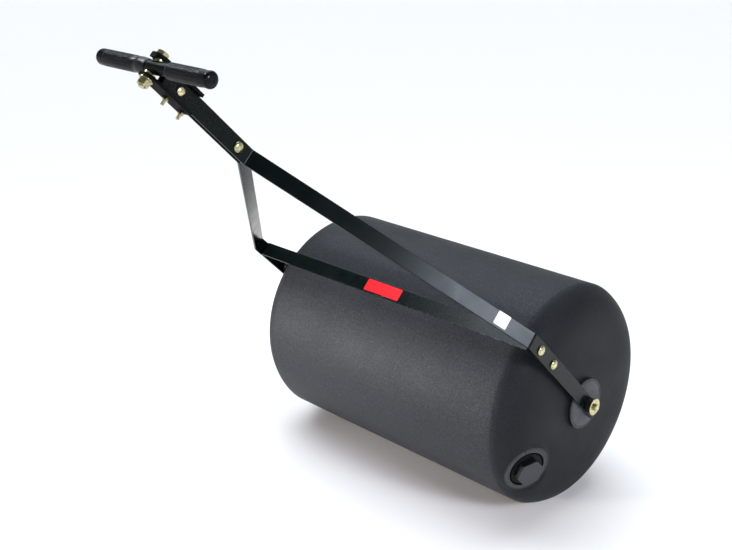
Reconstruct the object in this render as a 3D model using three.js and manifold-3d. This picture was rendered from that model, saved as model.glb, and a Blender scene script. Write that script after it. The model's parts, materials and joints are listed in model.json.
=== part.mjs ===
// Lawn roller: a hollow drum with domed ends turns in an A-shaped frame of flat straps,
// which carries a T-handle. Millimetres, +Z up, the ground at z = 0. The axle lies along Y
// above the origin, and the handle rises towards -X. Right is -Y, as seen from the handle.
import * as THREE from 'three';
import { mergeVertices } from 'three/addons/utils/BufferGeometryUtils.js';
import Module from 'manifold-3d';

const wasm = await Module();
wasm.setup();

// ---- Driving dimensions ----

const GAP = 0.3; // between pieces that touch
const FAR = 50; // how far a cutting tool reaches past what it cuts

const DRUM_RADIUS = 228.6; // an 18 inch drum
const DRUM_SIDES = 60;
const DRUM_WALL = 6;
const RIM_Y = 302; // the straight rolling face ends here
const DOME_DEPTH = 52;
const DOME_RADIAL_POWER = 8;
const DOME_AXIAL_POWER = 1.2;
const OUTER_DOME_STEPS = 7;
const INNER_DOME_STEPS = 4;
const HUB_Y = 362.5;
const HUB_RADIUS = 51;
const HUB_BEVEL = 1;
const AXLE_TUBE_RADIUS = 17;
const AXLE_HEIGHT = DRUM_RADIUS * Math.cos(Math.PI / DRUM_SIDES);

const PLUG_RADIUS_FROM_AXLE = 178;
const PLUG_ANGLE = THREE.MathUtils.degToRad(-150.5); // about the axle, from +X towards +Z
const PLUG_TILT = THREE.MathUtils.degToRad(22);
const PLUG_Y = 338.8;
const LIP_RADIUS = 44;
const POCKET_RADIUS = 38;
const LIP_HEIGHT = 2; // above the boss plane
const POCKET_DEPTH = 6;
const BOSS_DEPTH = 18;
const PORT_RADIUS = 26;
const PORT_SIDES = 24;
const PLUG_FLANGE_RADIUS = 34;
const PLUG_HEX = 50;
const PLUG_FACE = 17; // hexagon face above the boss plane
const PLUG_FLANGE = 4.5;
const PLUG_SHANK_RADIUS = PORT_RADIUS - 0.5;
const PLUG_WALL = 5;
const PLUG_SHANK_END = -22;
const SEAL = 2.5;
const SEAL_RADIUS = 32;

const AXLE_RADIUS = 10;
const AXLE_HALF = 379.3;
const AXLE_WASHER_RADIUS = 17;
const AXLE_WASHER = 3;
const AXLE_BOLT_DEPTH = 20;
const HUB_SPACER_RADIUS = 14;

const HANDLE_PITCH = THREE.MathUtils.degToRad(45);
const STRAP_WIDTH = 30;
const STRAP = 4;
const BEND_RADIUS = 8;
const BEND_STEPS = 4;
const ARM_INNER_Y = 365;
const ARM_TAIL = -36;
const CREASE_LOWER = 285.5;
const CREASE_UPPER = 750.5;
const ARM_FRONT = 968;
const TONGUE_GAP = 9; // between the two arms where they run side by side
const BUSH_RADIUS = 13;
const BUSH_FLANGE_RADIUS = 15.5;
const BUSH_FLANGE = 10;

const CROSSBAR_AT = 268;
const CROSSBAR_TAB_END = 164;
const CROSSBAR_BOLTS = { lower: 188, upper: 248 };
const TONGUE_BOLT_REAR = 780;
const TONGUE_BOLT_FRONT = 933;
const TONGUE_BOLT_TAIL = 2;
const REAR_SPACER_RADIUS = 8;
const FRONT_SPACER_RADIUS = 5;

const PLATE = 5;
const PLATE_HALF_WIDTH = 17;
const PLATE_REAR = 897;
const PLATE_SHOULDER = 986; // the rounded nose starts here
const PLATE_FRONT = 1004;
const PLATE_NOSE_STEPS = 8;
const TAB = 4;
const TAB_HALF_WIDTH = 7;
const TAB_DROP = 9;
const HITCH_BOLTS = { rear: 904.5, front: 942.5 };
const HITCH_BOLT_TAIL = 9;
const PLATE_Z = STRAP_WIDTH / 2 + GAP; // inner faces of the two hitch plates

const HANDLE_AT = 990;
const HANDLE_TUBE_RADIUS = 11;
const HANDLE_TUBE_WALL = 1.8;
const HANDLE_TUBE_LEFT = -120;
const HANDLE_TUBE_RIGHT = 133;
const HANDLE_HALF = 142;
const SADDLE_RADIUS = 10;
const GRIP_BORE = HANDLE_TUBE_RADIUS + GAP;
const GRIP_RADIUS = 13.5;
const GRIP_WAIST_RADIUS = 12.9;
const GRIP_COLLAR_RADIUS = 13.3;
const GRIP_MOUTH_RADIUS = 11.9;
const LEFT_GRIP = { end: -121, waist: -46, collar: -34.5, taper: -20, mouth: -11 };
const RIGHT_GRIP = { mouth: 42, ribs: 44, waist: 119, end: 134 };
const CAP_STEM = 12;
const LEFT_CAP_RIM = 11;
const RIGHT_CAP_RIM = 1.5;
const CAP_ROUNDNESS = 0.6;
const CAP_STEPS = 4;

const LABEL = 0.5;
const RED_LABEL_LENGTH = 92;
const WHITE_LABEL_LENGTH = 25.5;
const LABEL_WIDTH = 25;
const RED_LABEL_OFFSET = { right: -3, up: 1.3 };
const WHITE_LABEL_OFFSET = { along: 67, up: 2 }; // from the lower crease of the arm

// Bolt sizes: shank radius, head radius or width across flats, head height, nut height.
const M6 = { shank: 3, head: 8.2, headHeight: 3.9, flats: 10, nut: 5 };
const M8 = { shank: 4, head: 9.6, headHeight: 5, flats: 13, hexHeight: 5.3, nut: 6.2 };
const M12 = { shank: 6, flats: 19, hexHeight: 7.5, nut: 10, washerRadius: 12, washer: 2.5 };
const BOLT_TAIL = 3; // thread past the nut
const DOME_HEAD_STEPS = 3;
const SHANK_SIDES = 12;
const HEAD_SIDES = 16;
const ROUND_SIDES = 24;

// ---- Finishes ----

const BLACK_PAINT = { color: 0x1a1e1e, roughness: 0.42, metalness: 0.35 };
const YELLOW_ZINC = { color: 0xc9b76a, roughness: 0.3, metalness: 0.9 };
const DRUM_PLASTIC = { color: 0x3c3e42, roughness: 0.62, metalness: 0 };
const PLUG_PLASTIC = { color: 0x232528, roughness: 0.5, metalness: 0 };
const BLACK_NYLON = { color: 0x0e0f10, roughness: 0.55, metalness: 0 };
const GRIP_RUBBER = { color: 0x15171a, roughness: 0.6, metalness: 0 };
const GLOSS_BLACK = { color: 0x101214, roughness: 0.2, metalness: 0 };
const STEEL = { color: 0x9a9c9e, roughness: 0.35, metalness: 0.9 };
const RED_LABEL = { color: 0xe01522, roughness: 0.4, metalness: 0 };
const WHITE_LABEL = { color: 0xf2f2f0, roughness: 0.4, metalness: 0 };

function piece(name, geometry, finish) {
  const mesh = new THREE.Mesh(geometry, new THREE.MeshStandardMaterial(finish));
  mesh.name = name;
  return mesh;
}

// ---- Solids ----

// A closed geometry as a solid, with shared vertices merged and slivers on the axis dropped.
function solidOf(geometry) {
  const bare = geometry.clone();
  bare.deleteAttribute('normal');
  bare.deleteAttribute('uv');
  const merged = mergeVertices(bare, 1e-3);
  const corners = merged.getIndex().array;
  const triangles = [];
  for (let i = 0; i < corners.length; i += 3) {
    const [a, b, c] = corners.slice(i, i + 3);
    if (a !== b && b !== c && c !== a) triangles.push(a, b, c);
  }
  return new wasm.Manifold(new wasm.Mesh({
    numProp: 3,
    vertProperties: new Float32Array(merged.getAttribute('position').array),
    triVerts: new Uint32Array(triangles),
  }));
}

function geometryOf(solid) {
  const mesh = solid.getMesh();
  const geometry = new THREE.BufferGeometry();
  geometry.setAttribute('position', new THREE.BufferAttribute(mesh.vertProperties, 3));
  geometry.setIndex(new THREE.BufferAttribute(mesh.triVerts, 1));
  return geometry;
}

function cut(geometry, ...tools) {
  return geometryOf(tools.reduce((solid, tool) => solid.subtract(solidOf(tool)), solidOf(geometry)));
}

function join(geometry, ...others) {
  return geometryOf(others.reduce((solid, other) => solid.add(solidOf(other)), solidOf(geometry)));
}

// Turned about Y. The profile is a list of [radius, y], from the lower end up the outside.
function turned(profile, sides = ROUND_SIDES, phase = 0) {
  return new THREE.LatheGeometry(profile.map(([r, y]) => new THREE.Vector2(r, y)), sides, phase);
}

function rod(radius, low, high, sides = ROUND_SIDES) {
  return turned([[0, low], [radius, low], [radius, high], [0, high]], sides);
}

function ring(inner, outer, low, high, sides = ROUND_SIDES) {
  return turned([[inner, low], [outer, low], [outer, high], [inner, high], [inner, low]], sides);
}

// A plate with its outline in the XY plane, its thickness from low to high along Z.
function plate(outline, low, high) {
  const shape = new THREE.Shape(outline.map(([x, y]) => new THREE.Vector2(x, y)));
  const geometry = new THREE.ExtrudeGeometry(shape, { depth: high - low, bevelEnabled: false });
  return geometry.translate(0, 0, low);
}

// A hexagonal prism about Y.
function hexagon(flats, low, high) {
  const corner = flats / 2 / Math.cos(Math.PI / 6);
  return turned([[0, low], [corner, low], [corner, high], [0, high]], 6);
}

// ---- Fasteners, all about Y with the seat at y = 0 and the head above it ----

function carriageBolt(size, length) {
  const crown = [];
  for (let i = 0; i < DOME_HEAD_STEPS; i++) {
    const angle = (i / DOME_HEAD_STEPS) * Math.PI / 2;
    crown.push([size.head * Math.cos(angle), size.headHeight * Math.sin(angle)]);
  }
  crown.push([0, size.headHeight]);
  return turned([[0, -length], [size.shank, -length], [size.shank, 0], ...crown], HEAD_SIDES);
}

function hexBolt(size, length) {
  const head = hexagon(size.flats, 0, size.hexHeight);
  return join(head, rod(size.shank, -length, size.hexHeight / 2, SHANK_SIDES));
}

function nut(size) {
  return cut(hexagon(size.flats, 0, size.nut), rod(size.shank + GAP, -1, size.nut + 1, SHANK_SIDES));
}

// ---- Drum ----

// Half of the drum's outline, from startRadius out to the rim, as a superellipse.
function dome(radius, depth, startRadius, steps) {
  const start = Math.acos((startRadius / radius) ** (DOME_RADIAL_POWER / 2));
  return Array.from({ length: steps + 1 }, (_, i) => {
    const angle = start * (1 - i / steps);
    return [
      radius * Math.cos(angle) ** (2 / DOME_RADIAL_POWER),
      RIM_Y + depth * Math.sin(angle) ** (2 / DOME_AXIAL_POWER),
    ];
  });
}

function mirrored(upper) {
  const lower = upper.map(([r, y]) => [r, -y]);
  return [...lower, ...upper.slice().reverse()];
}

// The boss of the fill port, about its own Y axis with the boss plane at y = 0.
const plugAxis = new THREE.Vector3(
  Math.sin(PLUG_TILT) * Math.cos(PLUG_ANGLE),
  -Math.cos(PLUG_TILT),
  Math.sin(PLUG_TILT) * Math.sin(PLUG_ANGLE),
);
const plugPlace = new THREE.Matrix4().makeRotationFromQuaternion(
  new THREE.Quaternion().setFromUnitVectors(new THREE.Vector3(0, 1, 0), plugAxis),
).setPosition(
  PLUG_RADIUS_FROM_AXLE * Math.cos(PLUG_ANGLE),
  -PLUG_Y,
  PLUG_RADIUS_FROM_AXLE * Math.sin(PLUG_ANGLE),
);

function drumShell() {
  const phase = Math.PI / DRUM_SIDES; // puts a flat at the bottom
  const hub = [[0, HUB_Y], [HUB_RADIUS - HUB_BEVEL, HUB_Y], [HUB_RADIUS, HUB_Y - HUB_BEVEL]];
  const outer = [...hub, ...dome(DRUM_RADIUS, DOME_DEPTH, HUB_RADIUS, OUTER_DOME_STEPS)];
  const inner = dome(DRUM_RADIUS - DRUM_WALL, DOME_DEPTH - DRUM_WALL, AXLE_TUBE_RADIUS, INNER_DOME_STEPS);
  const hollow = mirrored(inner);
  const body = solidOf(turned(mirrored(outer), DRUM_SIDES, phase));
  const cavity = solidOf(turned([...hollow, hollow[0]], DRUM_SIDES, phase));
  const bore = solidOf(rod(AXLE_RADIUS + GAP, -HUB_Y - 1, HUB_Y + 1));
  const atPort = (geometry) => solidOf(geometry.applyMatrix4(plugPlace));
  const boss = atPort(rod(LIP_RADIUS + DRUM_WALL, -BOSS_DEPTH, FAR, PORT_SIDES)).intersect(body);
  const lip = atPort(ring(POCKET_RADIUS - 1, LIP_RADIUS, -POCKET_DEPTH - 1, LIP_HEIGHT, PORT_SIDES));
  const face = atPort(rod(LIP_RADIUS + 1, 0, FAR, PORT_SIDES));
  const pocket = atPort(rod(POCKET_RADIUS, -POCKET_DEPTH, FAR, PORT_SIDES));
  const port = atPort(rod(PORT_RADIUS, -FAR, FAR, PORT_SIDES));
  const shell = body.subtract(cavity).add(boss).subtract(face).add(lip);
  return geometryOf(shell.subtract(pocket).subtract(port).subtract(bore));
}

const SEAL_SEAT = -POCKET_DEPTH + GAP;
const PLUG_SEAT = SEAL_SEAT + SEAL + GAP;

function plugSeal() {
  return ring(PORT_RADIUS + GAP, SEAL_RADIUS, SEAL_SEAT, SEAL_SEAT + SEAL, PORT_SIDES);
}

function fillPlug() {
  const flangeTop = PLUG_SEAT + PLUG_FLANGE;
  const bowl = PLUG_SHANK_RADIUS - PLUG_WALL;
  const body = turned([
    [0, PLUG_SEAT],
    [bowl, PLUG_SEAT],
    [bowl, PLUG_SHANK_END],
    [PLUG_SHANK_RADIUS, PLUG_SHANK_END],
    [PLUG_SHANK_RADIUS, PLUG_SEAT],
    [PLUG_FLANGE_RADIUS, PLUG_SEAT],
    [PLUG_FLANGE_RADIUS, flangeTop],
    [0, flangeTop],
  ], PORT_SIDES);
  return join(body, hexagon(PLUG_HEX, PLUG_SEAT + 1, PLUG_FACE));
}

// ---- Axle, with the pieces on each end of it ----

function axleRod() {
  const end = AXLE_HALF - AXLE_BOLT_DEPTH - 2;
  return cut(
    rod(AXLE_RADIUS, -AXLE_HALF, AXLE_HALF),
    rod(M8.shank + GAP, end, AXLE_HALF + FAR, SHANK_SIDES),
    rod(M8.shank + GAP, -AXLE_HALF - FAR, -end, SHANK_SIDES),
  );
}

function armBush() {
  const inner = ARM_INNER_Y - GAP;
  const seat = ARM_INNER_Y + STRAP + GAP;
  const outer = seat + BUSH_FLANGE - 2 * GAP;
  const bore = AXLE_RADIUS + GAP;
  return turned([
    [bore, inner], [BUSH_RADIUS, inner], [BUSH_RADIUS, seat],
    [BUSH_FLANGE_RADIUS, seat], [BUSH_FLANGE_RADIUS, outer], [bore, outer], [bore, inner],
  ]);
}

// ---- Frame straps, along X from the axle, with their width along Z ----

function vector([x, y]) {
  return new THREE.Vector2(x, y);
}

// The centre line through the corners with each bend rounded, as points with unit normals.
function roundedPath(corners, radius) {
  const path = [];
  corners.forEach((corner, i) => {
    const arrive = i > 0 ? corner.clone().sub(corners[i - 1]).normalize() : null;
    const leave = i + 1 < corners.length ? corners[i + 1].clone().sub(corner).normalize() : null;
    if (!arrive || !leave) {
      const along = arrive ?? leave;
      path.push({ point: corner, normal: new THREE.Vector2(-along.y, along.x) });
      return;
    }
    const turn = Math.atan2(arrive.cross(leave), arrive.dot(leave));
    const side = Math.sign(turn);
    const across = new THREE.Vector2(-arrive.y, arrive.x);
    const setback = radius * Math.tan(Math.abs(turn) / 2);
    const centre = corner.clone()
      .addScaledVector(arrive, -setback)
      .addScaledVector(across, side * radius);
    for (let k = 0; k <= BEND_STEPS; k++) {
      const normal = across.clone().rotateAround(new THREE.Vector2(), turn * k / BEND_STEPS);
      path.push({ point: centre.clone().addScaledVector(normal, -side * radius), normal });
    }
  });
  return path;
}

function bentStrap(corners) {
  const path = roundedPath(corners.map(vector), BEND_RADIUS);
  const edge = (side) => path.map(
    ({ point, normal }) => point.clone().addScaledVector(normal, side * STRAP / 2),
  );
  const outline = [...edge(1), ...edge(-1).reverse()];
  return plate(outline.map(({ x, y }) => [x, y]), -STRAP_WIDTH / 2, STRAP_WIDTH / 2);
}

function drillAlongY(x, radius, sides = SHANK_SIDES) {
  const reach = ARM_INNER_Y + FAR;
  return rod(radius, -reach, reach, sides).translate(x, 0, 0);
}

function drillAlongZ(x, radius) {
  return rod(radius, -FAR, FAR, SHANK_SIDES).rotateX(Math.PI / 2).translate(x, 0, 0);
}

const ARM_OUTER_LINE = ARM_INNER_Y + STRAP / 2;
const ARM_TONGUE_LINE = TONGUE_GAP / 2 + STRAP / 2;

function arm(side) {
  const strap = bentStrap([
    [ARM_TAIL, side * ARM_OUTER_LINE],
    [CREASE_LOWER, side * ARM_OUTER_LINE],
    [CREASE_UPPER, side * ARM_TONGUE_LINE],
    [ARM_FRONT, side * ARM_TONGUE_LINE],
  ]);
  return cut(
    strap,
    drillAlongY(0, BUSH_RADIUS + GAP, ROUND_SIDES),
    drillAlongY(CROSSBAR_BOLTS.lower, M8.shank + GAP),
    drillAlongY(CROSSBAR_BOLTS.upper, M8.shank + GAP),
    drillAlongY(TONGUE_BOLT_REAR, M8.shank + GAP),
    drillAlongY(TONGUE_BOLT_FRONT, M6.shank + GAP),
  );
}

function crossbar() {
  const tab = ARM_INNER_Y - GAP - STRAP / 2;
  const strap = bentStrap([
    [CROSSBAR_TAB_END, tab],
    [CROSSBAR_AT, tab],
    [CROSSBAR_AT, -tab],
    [CROSSBAR_TAB_END, -tab],
  ]);
  return cut(
    strap,
    drillAlongY(CROSSBAR_BOLTS.lower, M8.shank + GAP),
    drillAlongY(CROSSBAR_BOLTS.upper, M8.shank + GAP),
  );
}

// ---- Hitch plates, which hold the T-handle between them ----

function hitchPlate(low, high) {
  const nose = PLATE_FRONT - PLATE_SHOULDER;
  const outline = [[PLATE_REAR, -PLATE_HALF_WIDTH]];
  for (let i = 0; i <= 2 * PLATE_NOSE_STEPS; i++) {
    const angle = (i / PLATE_NOSE_STEPS - 1) * Math.PI / 2;
    outline.push([
      PLATE_SHOULDER + nose * Math.cos(angle),
      PLATE_HALF_WIDTH * Math.sin(angle),
    ]);
  }
  return plate([...outline, [PLATE_REAR, PLATE_HALF_WIDTH]], low, high);
}

const PLATE_HOLES = [
  [HITCH_BOLTS.rear, M6.shank + GAP],
  [HITCH_BOLTS.front, M6.shank + GAP],
  [HANDLE_AT, M12.shank + GAP],
];

function drilled(geometry) {
  return cut(geometry, ...PLATE_HOLES.map(([x, radius]) => drillAlongZ(x, radius)));
}

function lowerHitchPlate() {
  return drilled(hitchPlate(-PLATE_Z - PLATE, -PLATE_Z));
}

// The upper plate's nose ends in a narrow tab bent down in front of the tube.
function upperHitchPlate() {
  const top = PLATE_Z + PLATE;
  const tab = new THREE.BoxGeometry(TAB, 2 * TAB_HALF_WIDTH, TAB_DROP);
  tab.translate(PLATE_FRONT - TAB / 2, 0, top - TAB_DROP / 2);
  return drilled(join(hitchPlate(PLATE_Z, top), tab));
}

// ---- T-handle, along Y ----

function handleTube() {
  const bore = HANDLE_TUBE_RADIUS - HANDLE_TUBE_WALL;
  return cut(
    ring(bore, HANDLE_TUBE_RADIUS, HANDLE_TUBE_LEFT, HANDLE_TUBE_RIGHT),
    drillAlongZ(0, M12.shank + GAP),
  );
}

// A sleeve over the tube, from its outline as [radius, y] from its lower end to its upper end.
function sleeve(outline) {
  const low = outline[0][1];
  const high = outline[outline.length - 1][1];
  return turned([[GRIP_BORE, low], ...outline, [GRIP_BORE, high], [GRIP_BORE, low]]);
}

function leftGrip() {
  const at = LEFT_GRIP;
  return sleeve([
    [GRIP_RADIUS, at.end],
    [GRIP_RADIUS, at.waist - GAP],
    [GRIP_WAIST_RADIUS, at.waist],
    [GRIP_WAIST_RADIUS, at.collar - GAP],
    [GRIP_COLLAR_RADIUS, at.collar],
    [GRIP_RADIUS, at.taper],
    [GRIP_MOUTH_RADIUS, at.mouth],
  ]);
}

function rightGrip() {
  const at = RIGHT_GRIP;
  return sleeve([
    [GRIP_WAIST_RADIUS, at.mouth],
    [GRIP_RADIUS, at.ribs],
    [GRIP_RADIUS, at.waist - GAP],
    [GRIP_WAIST_RADIUS, at.waist],
    [GRIP_WAIST_RADIUS, at.end],
  ]);
}

// An end cap with its rim at y = 0, its stem below and its dome above.
function endCap(rimLength, domeLength) {
  const stem = HANDLE_TUBE_RADIUS - HANDLE_TUBE_WALL - GAP;
  const cap = [[0, -CAP_STEM], [stem, -CAP_STEM], [stem, 0], [GRIP_RADIUS, 0], [GRIP_RADIUS, rimLength]];
  for (let i = 1; i < CAP_STEPS; i++) {
    const angle = (i / CAP_STEPS) * Math.PI / 2;
    cap.push([
      GRIP_RADIUS * Math.cos(angle) ** CAP_ROUNDNESS,
      rimLength + domeLength * Math.sin(angle),
    ]);
  }
  return turned([...cap, [0, rimLength + domeLength]]);
}

// ---- Assembly ----

const roller = new THREE.Group();

const drum = new THREE.Group();
drum.position.z = AXLE_HEIGHT;
roller.add(drum);

drum.add(piece('drum_shell', drumShell(), DRUM_PLASTIC));
drum.add(piece('axle_rod', axleRod(), STEEL));
for (const [name, side] of [['left', 1], ['right', -1]]) {
  const end = new THREE.Group();
  end.rotation.x = side > 0 ? 0 : Math.PI;
  const washerSeat = AXLE_HALF + GAP;
  const spacerEnd = ARM_INNER_Y - 2 * GAP;
  const spacer = ring(AXLE_RADIUS + GAP, HUB_SPACER_RADIUS, HUB_Y + GAP, spacerEnd);
  const washer = ring(M8.shank + GAP, AXLE_WASHER_RADIUS, washerSeat, washerSeat + AXLE_WASHER);
  const bolt = piece(`axle_bolt_${name}`, hexBolt(M8, AXLE_BOLT_DEPTH), YELLOW_ZINC);
  bolt.position.y = washerSeat + AXLE_WASHER + GAP;
  end.add(
    piece(`hub_spacer_${name}`, spacer, YELLOW_ZINC),
    piece(`axle_washer_${name}`, washer, YELLOW_ZINC),
    bolt,
  );
  drum.add(end);
}

const port = new THREE.Group();
plugPlace.decompose(port.position, port.quaternion, port.scale);
port.add(piece('plug_seal', plugSeal(), BLACK_NYLON));
port.add(piece('fill_plug', fillPlug(), PLUG_PLASTIC));
drum.add(port);

// In the frame, X runs up the handle from the axle, Y to the right and Z out of its plane.
const frame = new THREE.Group();
frame.position.z = AXLE_HEIGHT;
frame.rotation.set(0, HANDLE_PITCH, Math.PI);
roller.add(frame);

for (const [name, side] of [['left', -1], ['right', 1]]) {
  frame.add(piece(`arm_${name}`, arm(side), BLACK_PAINT));
  const bush = piece(`arm_bush_${name}`, armBush(), BLACK_NYLON);
  bush.rotation.x = side > 0 ? 0 : Math.PI;
  frame.add(bush);
  for (const [place, x] of Object.entries(CROSSBAR_BOLTS)) {
    const fastener = new THREE.Group();
    fastener.rotation.x = side > 0 ? 0 : Math.PI;
    fastener.position.x = x;
    const stack = 2 * STRAP + 3 * GAP;
    const bolt = piece(`crossbar_bolt_${name}_${place}`, carriageBolt(M8, stack + M8.nut), YELLOW_ZINC);
    bolt.position.y = ARM_INNER_Y + STRAP + GAP;
    const lock = piece(`crossbar_nut_${name}_${place}`, nut(M8), YELLOW_ZINC);
    lock.position.y = ARM_INNER_Y - STRAP - 2 * GAP - M8.nut;
    fastener.add(bolt, lock);
    frame.add(fastener);
  }
}
frame.add(piece('crossbar', crossbar(), BLACK_PAINT));

for (const [name, x, size, spacerRadius] of [
  ['rear', TONGUE_BOLT_REAR, M8, REAR_SPACER_RADIUS],
  ['front', TONGUE_BOLT_FRONT, M6, FRONT_SPACER_RADIUS],
]) {
  const fastener = new THREE.Group();
  fastener.position.x = x;
  const seat = TONGUE_GAP / 2 + STRAP + GAP;
  const length = 2 * seat + size.nut + TONGUE_BOLT_TAIL;
  const bolt = piece(`tongue_bolt_${name}`, carriageBolt(size, length), YELLOW_ZINC);
  bolt.position.y = seat;
  const lock = piece(`tongue_nut_${name}`, nut(size), YELLOW_ZINC);
  lock.position.y = -seat - size.nut;
  const half = TONGUE_GAP / 2 - GAP;
  const spacer = ring(size.shank + GAP, spacerRadius, -half, half, HEAD_SIDES);
  fastener.add(bolt, lock, piece(`tongue_spacer_${name}`, spacer, YELLOW_ZINC));
  frame.add(fastener);
}

frame.add(piece('hitch_plate_lower', lowerHitchPlate(), BLACK_PAINT));
frame.add(piece('hitch_plate_upper', upperHitchPlate(), BLACK_PAINT));
for (const [name, x] of Object.entries(HITCH_BOLTS)) {
  const fastener = new THREE.Group();
  fastener.position.x = x;
  fastener.rotation.x = Math.PI / 2;
  const seat = PLATE_Z + PLATE + GAP;
  const length = 2 * seat + M6.nut + HITCH_BOLT_TAIL;
  const bolt = piece(`hitch_bolt_${name}`, carriageBolt(M6, length), YELLOW_ZINC);
  bolt.position.y = seat;
  const lock = piece(`hitch_nut_${name}`, nut(M6), YELLOW_ZINC);
  lock.position.y = -seat - M6.nut;
  fastener.add(bolt, lock);
  frame.add(fastener);
}

const tee = new THREE.Group();
tee.position.x = HANDLE_AT;
frame.add(tee);
tee.add(piece('handle_tube', handleTube(), BLACK_PAINT));
tee.add(piece('grip_left', leftGrip(), GRIP_RUBBER));
tee.add(piece('grip_right', rightGrip(), GRIP_RUBBER));
for (const [name, side, gripEnd, rim] of [
  ['left', -1, -LEFT_GRIP.end, LEFT_CAP_RIM],
  ['right', 1, RIGHT_GRIP.end, RIGHT_CAP_RIM],
]) {
  const cap = piece(`end_cap_${name}`, endCap(rim, HANDLE_HALF - gripEnd - GAP - rim), GLOSS_BLACK);
  cap.position.y = side * (gripEnd + GAP);
  cap.rotation.x = side > 0 ? 0 : Math.PI;
  tee.add(cap);
}

const pivot = new THREE.Group();
pivot.rotation.x = Math.PI / 2;
const pivotSeat = PLATE_Z + PLATE + GAP;
const pivotNutSeat = pivotSeat + M12.washer + GAP;
const pivotBolt = piece(
  'handle_bolt',
  hexBolt(M12, pivotSeat + pivotNutSeat + M12.nut + BOLT_TAIL),
  YELLOW_ZINC,
);
pivotBolt.position.y = pivotSeat;
const pivotNut = piece('handle_nut', nut(M12), YELLOW_ZINC);
pivotNut.position.y = -pivotNutSeat - M12.nut;
const pivotWasher = ring(M12.shank + GAP, M12.washerRadius, -pivotSeat - M12.washer, -pivotSeat);
pivot.add(pivotBolt, pivotNut, piece('handle_washer_outer', pivotWasher, YELLOW_ZINC));
const saddleInner = HANDLE_TUBE_RADIUS + GAP;
const saddleOuter = PLATE_Z - GAP;
for (const [name, low, high] of [
  ['upper', saddleInner, saddleOuter],
  ['lower', -saddleOuter, -saddleInner],
]) {
  const saddle = ring(M12.shank + GAP, SADDLE_RADIUS, low, high, HEAD_SIDES);
  pivot.add(piece(`handle_saddle_${name}`, saddle, YELLOW_ZINC));
}
tee.add(pivot);

// Labels: a blank red plate on the crossbar and a blank white one on the right arm.
const labelRise = STRAP / 2 + GAP + LABEL / 2;
const redLabel = piece(
  'label_red',
  new THREE.BoxGeometry(LABEL, RED_LABEL_LENGTH, LABEL_WIDTH),
  RED_LABEL,
);
redLabel.position.set(CROSSBAR_AT + labelRise, RED_LABEL_OFFSET.right, RED_LABEL_OFFSET.up);
frame.add(redLabel);

const armSlope = new THREE.Vector2(CREASE_UPPER - CREASE_LOWER, ARM_TONGUE_LINE - ARM_OUTER_LINE).normalize();
const whiteLabel = piece(
  'label_white',
  new THREE.BoxGeometry(WHITE_LABEL_LENGTH, LABEL, LABEL_WIDTH),
  WHITE_LABEL,
);
whiteLabel.rotation.z = armSlope.angle();
whiteLabel.position.set(
  CREASE_LOWER + armSlope.x * WHITE_LABEL_OFFSET.along - armSlope.y * labelRise,
  ARM_OUTER_LINE + armSlope.y * WHITE_LABEL_OFFSET.along + armSlope.x * labelRise,
  WHITE_LABEL_OFFSET.up,
);
frame.add(whiteLabel);

export default roller;
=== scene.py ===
"""A lawn roller in metres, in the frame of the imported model: +Z up, the axle along Y, and the
handle towards -X."""

import json
import math

import bmesh
import bpy
from mathutils import Matrix, Vector


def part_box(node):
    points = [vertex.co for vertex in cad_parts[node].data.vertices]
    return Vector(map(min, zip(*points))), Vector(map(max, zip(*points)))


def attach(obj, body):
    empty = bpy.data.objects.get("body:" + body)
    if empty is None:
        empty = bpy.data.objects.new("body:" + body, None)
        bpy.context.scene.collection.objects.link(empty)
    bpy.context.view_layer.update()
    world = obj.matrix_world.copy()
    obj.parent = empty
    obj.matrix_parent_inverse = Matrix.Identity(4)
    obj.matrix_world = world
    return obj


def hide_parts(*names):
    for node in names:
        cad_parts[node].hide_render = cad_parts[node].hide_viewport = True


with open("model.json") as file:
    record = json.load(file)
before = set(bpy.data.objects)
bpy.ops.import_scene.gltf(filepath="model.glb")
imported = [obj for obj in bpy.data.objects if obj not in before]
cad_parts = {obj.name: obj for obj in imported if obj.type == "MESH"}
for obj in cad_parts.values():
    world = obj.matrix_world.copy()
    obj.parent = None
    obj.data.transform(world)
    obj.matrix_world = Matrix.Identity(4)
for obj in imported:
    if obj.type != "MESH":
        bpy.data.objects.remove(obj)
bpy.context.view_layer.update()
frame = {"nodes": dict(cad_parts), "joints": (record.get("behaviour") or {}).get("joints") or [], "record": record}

MM = 0.001
GAP = 0.3 * MM
BODIES = frame["record"]["behaviour"]["bodies"]
BODY_OF = {node: body for body, nodes in BODIES.items() for node in nodes}
SLOT_OF = {part["node"]: part["material_slot"] for part in frame["record"]["subparts"]}
JOINTS = {joint["name"]: joint for joint in frame["joints"]}

AXLE = Vector(JOINTS["drum_spin"]["pos_m"])
LEFT = Vector((0, 1, 0))
RIGHT = -LEFT
TUBE_LOW, TUBE_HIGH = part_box("handle_tube")
TO_HANDLE = (TUBE_LOW + TUBE_HIGH) / 2 - AXLE
UP_HANDLE = Vector((TO_HANDLE.x, 0, TO_HANDLE.z)).normalized()
OUT = UP_HANDLE.cross(RIGHT)  # out of the plane of the frame's straps

# The frame's own axes: X up the handle from the axle, Y to the right, Z out of its plane.
STRAPS = Matrix.Translation(AXLE) @ Matrix((UP_HANDLE, RIGHT, OUT)).transposed().to_4x4()


# ---- Places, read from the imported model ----

def facing(point, direction, side=None):
    """A place at point whose Z runs along direction, and whose X runs towards side."""
    z = Vector(direction).normalized()
    if side is None:
        return Matrix.Translation(point) @ z.to_track_quat("Z", "Y").to_matrix().to_4x4()
    x = (side - side.dot(z) * z).normalized()
    return Matrix.Translation(point) @ Matrix((x, z.cross(x), z)).transposed().to_4x4()


def span(node, place):
    """The lowest and highest corners of a node, in the axes of a place."""
    back = place.inverted()
    corners = [back @ v.co for v in frame["nodes"][node].data.vertices]
    low = Vector([min(c[i] for c in corners) for i in range(3)])
    high = Vector([max(c[i] for c in corners) for i in range(3)])
    return low, high


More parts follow.
